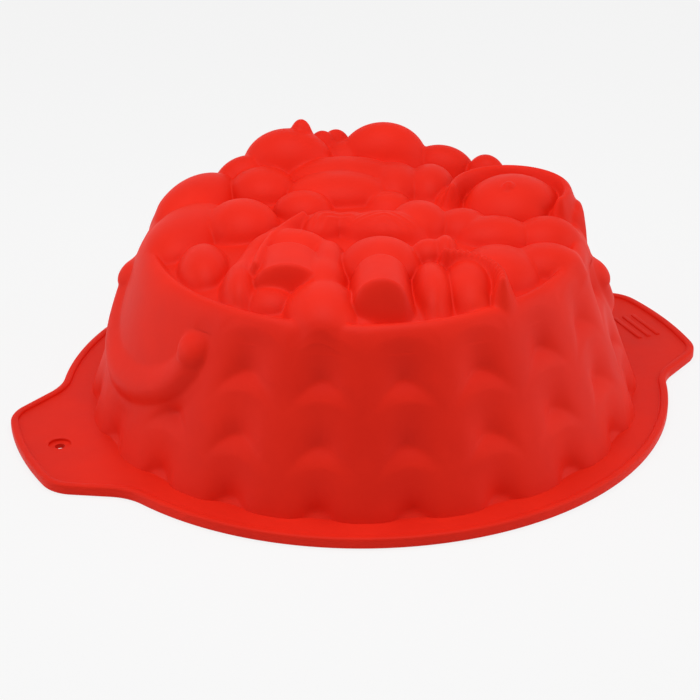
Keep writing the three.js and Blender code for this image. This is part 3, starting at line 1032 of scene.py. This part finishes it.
@dataclass
class Flange:
    """The flat flange with its two tabs and raised bead, in millimetres."""

    radius: float = 125.0
    thickness: float = 3.0
    bead_width: float = 3.2
    bead_height: float = 4.2
    tab_reach: float = 20.4
    tip_half_width: float = 31.4
    root_half_width: float = 46.4
    corner_radius: float = 15.8
    root_fillet: float = 22.0
    bead_side: float = 2.9  # height of the bead's upright side
    toe: float = 0.7  # how far the resting face stops short of the outline
    under_share: float = 0.7  # how fast the lines under the bead follow those over it
    foot_lap: float = 0.8  # how far the plate runs on under the wall's foot
    ring_share: float = 2 / 3  # share of the lines that lie outside the round edge
    arc_steps: int = 60
    hole_radius: float = 2.0
    hole_from_tip: float = 15.4
    recess_radius: float = 4.5
    recess_depth: float = 1.0
    rib_length: float = 22.0
    rib_width: float = 2.0
    rib_height: float = 0.6
    rib_pitch: float = 4.5
    rib_from_tip: float = 15.0
    columns: int = 720
    wall: BasketWall = field(default_factory=BasketWall)

    def build(self, finish: Material) -> dict[str, Object]:
        """Shapes the flange, parts it and finishes the tabs.

        Args:
            finish: The silicone.

        Returns:
            The pieces by name.
        """
        stations = self._stations()
        sheet = Sheet("flange_sheet", self.columns, len(stations) - 1)
        row = np.round((sheet.v + 1) / 2 * sheet.rows).astype(int)
        column = np.round((sheet.u + 1) / 2 * sheet.columns).astype(int) % sheet.columns
        outer = np.zeros((len(row), 3))
        inner = np.zeros((len(row), 3))
        for number, (inset, share, height) in enumerate(stations):
            here = row == number
            line = self._line(inset, share)
            outer[here, :2] = line[column[here]]
            outer[here, 2] = height
            under = max(inset, self.toe + self.under_share * inset)
            inner[here, :2] = self._line(under, share)[column[here]]
        sheet.shape(outer, inner)
        kept = sheet.close_round(self._labels(sheet))
        names = ["flange_ring", "hang_tab", "grip_tab", "rim_bead"]
        pieces = sheet.part(names, kept, finish, Shading.BY_ANGLE)
        self._pierce(pieces["hang_tab"])
        self._add_ribs(pieces["grip_tab"])
        return pieces

    def _stations(self) -> list[tuple[float, float, float]]:
        """Lists the lines round the flange, from outside in.

        Returns:
            Each line's inset from the outline, share of the way to the wall and height.
        """
        side, middle = self.bead_side, self.bead_width / 2
        lines = [(self.toe, 0, 0.0), (0.2, 0, 0.15), (0.0, 0, 0.6), (0.0, 0, side)]
        for turn in math.pi * np.arange(1, 8) / 8:
            across = math.cos(turn) * abs(math.cos(turn)) ** -0.4
            rise = (self.bead_height - side) * math.sin(turn) ** 0.6
            lines.append((middle - middle * across, 0, side + rise))
        lines.append((self.bead_width, 0, self.thickness + 0.1))
        for share in [*np.linspace(0, 1, 19), 2.0]:
            lines.append((self.bead_width + 0.5, share, self.thickness))
        return lines

    def _line(self, inset: float, share: float) -> Array:
        """Draws one line round the flange.

        Args:
            inset: How far it lies inside the outline.
            share: How far it lies toward the wall: 1 is the wall's foot and 2 is the mouth.

        Returns:
            The line's points.
        """
        edge = self._outline(inset)
        if share <= 0:
            return edge
        angle = np.arctan2(edge[:, 1], edge[:, 0])
        ray = np.column_stack([np.cos(angle), np.sin(angle)])
        scallop = self._scallop(angle)
        if share > 1:
            return ray * (self.wall.base_radius - self.wall.thickness - scallop)
        foot = ray * (self.wall.base_radius - self.foot_lap - scallop)
        ring = ray * (self.radius - self.bead_width - 0.2)
        if share <= self.ring_share:
            return edge + (ring - edge) * (share / self.ring_share)
        return ring + (foot - ring) * ((share - self.ring_share) / (1 - self.ring_share))

    def _scallop(self, angle: Array) -> Array:
        """How far the basket's foot is drawn in at each angle, as a column."""
        return self.wall.tufts(angle, np.full(angle.shape, self.thickness))[:, None]

    def _outline(self, inset: float) -> Array:
        """Steps evenly round the flange and its tabs.

        Args:
            inset: How far to move in.

        Returns:
            One point for each column, from the middle of the -X tab.
        """
        fine = self._outline_quarter(inset)
        flipped = fine[::-1][1:] * [-1, 1]
        half = np.vstack([fine, flipped])
        whole = np.vstack([half, half[::-1][1:] * [1, -1]])
        steps = np.hypot(*np.diff(whole, axis=0).T)
        path = np.concatenate([[0], np.cumsum(steps)])
        even = np.linspace(0, path[-1], self.columns + 1)[:-1]
        at = (even + path[-1] / 2) % path[-1]
        return np.column_stack([np.interp(at, path, whole[:, 0]),
                                np.interp(at, path, whole[:, 1])])

    def _outline_quarter(self, inset: float) -> Array:
        """Draws a quarter of the outline, from the tip of the +X tab to the +Y axis.

        Args:
            inset: How far to move in.

        Returns:
            The quarter's points.
        """
        rim, tip = self.radius - inset, self.radius + self.tab_reach - inset
        root_x = math.sqrt(self.radius ** 2 - self.root_half_width ** 2)
        tip_radius = self.radius + self.tab_reach
        corner_x = math.sqrt(tip_radius ** 2 - self.tip_half_width ** 2)
        root = np.array([root_x, self.root_half_width])
        way = np.array([corner_x, self.tip_half_width]) - root
        way /= np.linalg.norm(way)
        corner_r, fillet_r = self.corner_radius - inset, self.root_fillet + inset
        corner = self._touching(root, way, -self.corner_radius, tip - corner_r)
        fillet = self._touching(root, way, self.root_fillet, rim + fillet_r)
        side = math.atan2(way[0], -way[1])
        corner_a = math.atan2(corner[1], corner[0])
        root_a = math.atan2(fillet[1], fillet[0])
        origin, steps = np.zeros(2), self.arc_steps
        return np.vstack([
            self._arc(origin, tip, 0, corner_a, steps),
            self._arc(corner, corner_r, corner_a, side, steps)[1:],
            self._arc(fillet, fillet_r, side + math.pi, root_a + math.pi, steps),
            self._arc(origin, rim, root_a, math.pi / 2, 4 * steps)[1:],
        ])

    @staticmethod
    def _touching(point: Array, way: Array, offset: float,
                  reach: float) -> Array:
        """Places a round that touches a straight side.

        Args:
            point: A point on the side.
            way: The side's direction.
            offset: The round's radius, negative for one on the side's right.
            reach: How far the round's centre lies from the axis.

        Returns:
            The round's centre.
        """
        start = point + np.array([-way[1], way[0]]) * offset
        along = float(start @ way)
        ahead = math.sqrt(along ** 2 - float(start @ start) + reach ** 2)
        return start + way * (ahead - along)

    @staticmethod
    def _arc(centre: Array, radius: float, start: float, end: float,
             steps: int) -> Array:
        """Points along an arc."""
        turn = np.linspace(start, end, steps + 1)
        return centre + radius * np.column_stack([np.cos(turn), np.sin(turn)])

    def _labels(self, sheet: Sheet) -> Array:
        """Numbers the piece that each cell belongs to.

        Args:
            sheet: The flange's sheet.

        Returns:
            0 for the ring, 1 and 2 for the tabs and 3 for the bead.
        """
        inset, share, _ = np.array(self._stations())[1:][sheet.cell_row].T
        x, y = self._outline(0)[sheet.cell_column].T
        past_ring = np.hypot(x, y) > self.radius + 0.5
        on_tab = past_ring & (share <= self.ring_share + HAIR)
        plate = np.where(on_tab, np.where(x > 0, 2, 1), 0)
        return np.where(inset <= self.bead_width + HAIR, 3, plate)

    def _cutter(self, x: float, radius: float, bottom: float, top: float) -> Object:
        """Makes an upright round bar that a hole is cut with.

        Args:
            x: Where it stands on the tabs' axis.
            radius: Its radius.
            bottom: The height of its lower end.
            top: The height of its upper end.

        Returns:
            The bar.
        """
        deselect()
        bpy.ops.mesh.primitive_cylinder_add(
            vertices=64, radius=radius * MM, depth=(top - bottom) * MM,
            location=(x * MM, 0, (top + bottom) / 2 * MM))
        bar = bpy.context.object
        bpy.ops.object.transform_apply(location=True, rotation=True, scale=True)
        return bar

    def _pierce(self, tab: Object) -> None:
        """Cuts the shallow recess and the hanging hole.

        Args:
            tab: The tab to cut.
        """
        x = -(self.radius + self.tab_reach - self.hole_from_tip)
        well_clear = 3 * self.thickness
        recess = (self.recess_radius, self.thickness - self.recess_depth)
        for radius, bottom in (recess, (self.hole_radius, -well_clear)):
            bar = self._cutter(x, radius, bottom, well_clear)
            cut = tab.modifiers.new("cut", "BOOLEAN")
            cut.operation = "DIFFERENCE"
            cut.object = bar
            take(tab)
            bpy.ops.object.modifier_apply(modifier="cut")
            bpy.data.objects.remove(bar)
        bpy.ops.object.shade_smooth_by_angle(angle=SMOOTH_ANGLE)

    def _add_ribs(self, tab: Object) -> None:
        """Adds three low rounded ribs to the tab.

        Args:
            tab: The tab.
        """
        middle = self.radius + self.tab_reach - self.rib_from_tip
        size = Vector((self.rib_width, self.rib_length, 2 * self.rib_height)) * MM
        ribs = []
        for number in (-1, 0, 1):
            deselect()
            bpy.ops.mesh.primitive_cube_add(size=1)
            rib = bpy.context.object
            rib.scale = size
            rib.location = Vector((middle + number * self.rib_pitch, 0, self.thickness)) * MM
            bpy.ops.object.transform_apply(location=True, rotation=True, scale=True)
            edge = rib.modifiers.new("edge", "BEVEL")
            edge.width = self.rib_height * MM * 0.95
            edge.segments = 4
            bpy.ops.object.modifier_apply(modifier="edge")
            rib.data.materials.append(tab.data.materials[0])
            bpy.ops.object.shade_smooth_by_angle(angle=1.5 * SMOOTH_ANGLE)
            ribs.append(rib)
        take(tab)
        for rib in ribs:
            rib.select_set(True)
        bpy.ops.object.join()


# ---------------------------------------------------------------- studio


@dataclass(frozen=True)
class Viewpoint:
    """Where the camera stands, in millimetres and degrees."""

    distance: float = 785.6
    elevation: float = 27.44
    heading: float = 23.33
    roll: float = -0.353
    lens: float = 97.05
    sensor: float = 36.0
    shift: tuple[float, float] = (-0.0205, 0.0546)
    farthest: float = 50.0  # in metres

    def build(self) -> None:
        """Adds the camera."""
        lens = bpy.data.cameras.new("camera")
        lens.lens = self.lens
        lens.sensor_width = self.sensor
        lens.shift_x, lens.shift_y = self.shift
        lens.clip_end = self.farthest
        camera = bpy.data.objects.new("camera", lens)
        bpy.context.scene.collection.objects.link(camera)
        up_tilt, turn = math.radians(self.elevation), math.radians(self.heading)
        ahead = Vector((math.cos(up_tilt) * math.sin(turn), math.cos(up_tilt) * math.cos(turn),
                        -math.sin(up_tilt)))
        right = ahead.cross(Vector((0, 0, 1))).normalized()
        up = right.cross(ahead)
        roll = math.radians(self.roll)
        camera_x = right * math.cos(roll) + up * math.sin(roll)
        camera_y = up * math.cos(roll) - right * math.sin(roll)
        axes = Matrix((camera_x, camera_y, -ahead)).transposed().to_4x4()
        camera.matrix_world = Matrix.Translation(ahead * -self.distance * MM) @ axes
        bpy.context.scene.camera = camera


@dataclass(frozen=True)
class SoftBox:
    """A square soft light that faces the mould, in metres, degrees and watts."""

    name: str
    heading: float
    elevation: float
    distance: float
    size: float
    power: float

    AIM = Vector((0, 0, 0.04))  # the middle of the mould

    def build(self) -> None:
        """Adds the light."""
        light = bpy.data.lights.new(self.name, "AREA")
        light.shape = "SQUARE"
        light.size = self.size
        light.energy = self.power
        box = bpy.data.objects.new(self.name, light)
        bpy.context.scene.collection.objects.link(box)
        tilt, turn = math.radians(self.elevation), math.radians(self.heading)
        toward = Vector((math.cos(tilt) * math.cos(turn), math.cos(tilt) * math.sin(turn),
                         math.sin(tilt)))
        box.location = toward * self.distance + self.AIM
        box.rotation_euler = toward.to_track_quat("Z", "Y").to_euler()


@dataclass(frozen=True)
class Studio:
    """Plain pale surroundings and soft light."""

    floor_size: float = 12.0
    surround: float = 0.37
    backdrop: float = 0.935
    boxes: tuple[SoftBox, ...] = (
        SoftBox("overhead", 230.0, 78.0, 0.36, 0.26, 0.74),
        SoftBox("left_side", 165.0, 20.0, 1.0, 0.8, 3.1),
        SoftBox("right_side", -28.0, 20.0, 1.0, 0.8, 3.7),
    )

    def build(self) -> None:
        """Adds the floor, the soft boxes and the surround."""
        self._floor()
        for box in self.boxes:
            box.build()
        self._surround()
        bpy.context.scene.view_settings.view_transform = "Standard"

    def _floor(self) -> None:
        """Adds the paper that the mould stands on."""
        deselect()
        bpy.ops.mesh.primitive_plane_add(size=self.floor_size, location=(0, 0, -0.0003))
        floor = bpy.context.object
        floor.name = "paper_floor"
        floor.data.materials.append(Paper("pale_paper").material())

    def _surround(self) -> None:
        """Lights the scene from all round and shows a pale backdrop."""
        world = bpy.data.worlds.new("surround")
        bpy.context.scene.world = world
        world.use_nodes = True
        nodes, links = world.node_tree.nodes, world.node_tree.links
        light = nodes["Background"]
        light.inputs["Color"].default_value = (1.0, 1.0, 1.0, 1.0)
        light.inputs["Strength"].default_value = self.surround
        shown = nodes.new("ShaderNodeBackground")
        shown.inputs["Color"].default_value = (*[self.backdrop] * 3, 1.0)
        mix = nodes.new("ShaderNodeMixShader")
        links.new(seen_directly(nodes, links), mix.inputs["Fac"])
        links.new(light.outputs["Background"], mix.inputs[1])
        links.new(shown.outputs["Background"], mix.inputs[2])
        links.new(mix.outputs["Shader"], nodes["World Output"].inputs["Surface"])


# ---------------------------------------------------------------- the whole mould


def declare(pieces: dict[str, Object]) -> None:
    """Ties each piece to the CAD node it stands for.

    Args:
        pieces: The pieces by name, which is their node's name too.
    """
    for node, piece in pieces.items():
        piece.name = node + "_moulded"
        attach(piece, "root")
        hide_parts(node)
        LOG.info("%s: %d faces", node, len(piece.data.polygons))


def main() -> None:
    """Builds the mould and its studio, and logs the flange's size and low point as read from the CAD
    model.
    """
    logging.basicConfig(level=logging.INFO)
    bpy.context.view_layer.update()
    Viewpoint().build()
    finish = Silicone().material()
    bead_low, bead_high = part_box("rim_bead")
    wall = BasketWall()
    flange = Flange(radius=bead_high.y / MM, tab_reach=(bead_high.x - bead_high.y) / MM, wall=wall)
    crown = Crown(wall.top_radius, wall.top, wall.thickness, wall.quilting)
    LOG.info("flange %.1f mm, low point %.2f mm", 2 * flange.radius, bead_low.z / MM)
    declare(flange.build(finish))
    declare(wall.build(finish))
    declare(crown.build(finish))
    Studio().build()


if __name__ == "__main__":
    main()
